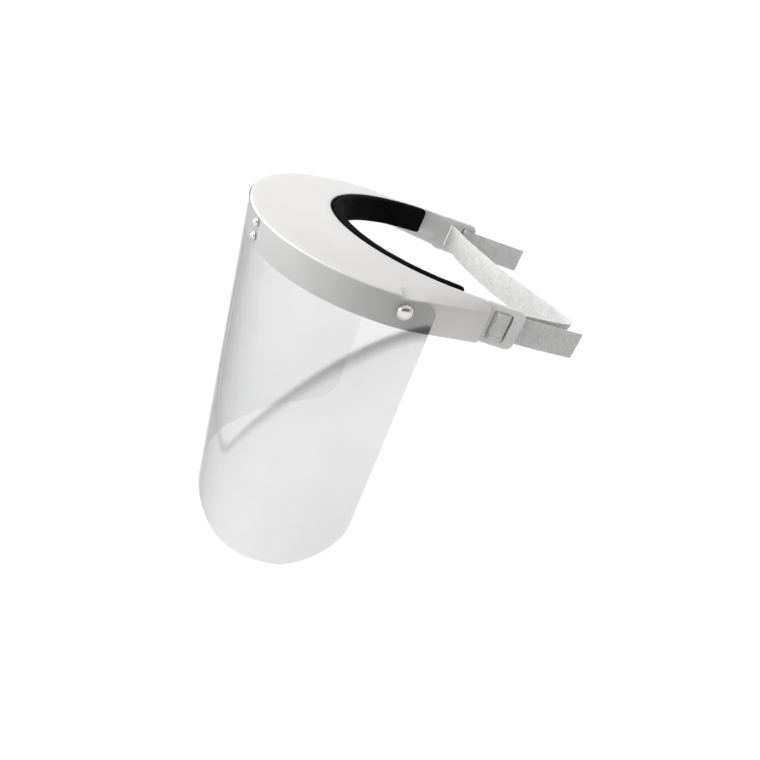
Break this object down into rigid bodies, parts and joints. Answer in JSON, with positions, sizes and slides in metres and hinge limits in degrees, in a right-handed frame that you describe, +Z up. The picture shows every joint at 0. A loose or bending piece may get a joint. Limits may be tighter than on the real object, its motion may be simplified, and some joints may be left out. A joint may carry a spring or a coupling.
{
  "type": "face shield",
  "caption": "Face shield: a white peaked headband with a foam brow pad and a clear wrap-round sheet on press studs, held to the head by an elastic strap.",
  "frame": {"origin": "where the forehead touches the middle of the brow pad's inner face", "axes": "+Z up as worn, -Y the way the wearer looks, +X the wearer's left"},
  "size_m": [0.218, 0.2183, 0.2245],
  "materials": {
    "white_plastic": "satin moulded",
    "black_foam": "closed-cell foam with a napped face",
    "black_tape": "hook-and-loop strip",
    "clear_sheet": "clear flexible plastic sheet",
    "nickel": "nickel plate",
    "webbing": "woven elastic"
  },
  "bodies": {
    "visor": {"crown": "white_plastic", "brow_pad": "black_foam", "pad_strip": "black_tape", "shield": "clear_sheet", "stud_side_left": "nickel", "cap_side_left": "nickel", "stud_side_right": "nickel", "cap_side_right": "nickel", "stud_front_upper_left": "nickel", "cap_front_upper_left": "nickel", "stud_front_upper_right": "nickel", "cap_front_upper_right": "nickel", "stud_front_lower_left": "nickel", "cap_front_lower_left": "nickel", "stud_front_lower_right": "nickel", "cap_front_lower_right": "nickel", "strap_loop_left": "webbing", "strap_loop_right": "webbing", "strap_side_left": "webbing", "strap_side_right": "webbing"},
    "strap_back": {"strap_back": "webbing"},
    "tail_left": {"strap_tail_left": "webbing"},
    "tail_right": {"strap_tail_right": "webbing"}
  },
  "joints": [
    {"name": "strap_stretch", "type": "slide", "parent": "visor", "child": "strap_back", "axis": [0, 1, 0], "range_m": [0, 0.035], "stiffness_N_per_m": 60},
    {"name": "tail_left_swing", "type": "hinge", "parent": "visor", "child": "tail_left", "pos_m": [0.0805, 0.1139, -0.0046], "axis": [0, 0, -1], "range_deg": [-2, 40], "stiffness_Nm_per_rad": 0.002},
    {"name": "tail_right_swing", "type": "hinge", "parent": "visor", "child": "tail_right", "pos_m": [-0.0805, 0.1139, -0.0046], "axis": [0, 0, 1], "range_deg": [-20, 40], "stiffness_Nm_per_rad": 0.002}
  ]
}
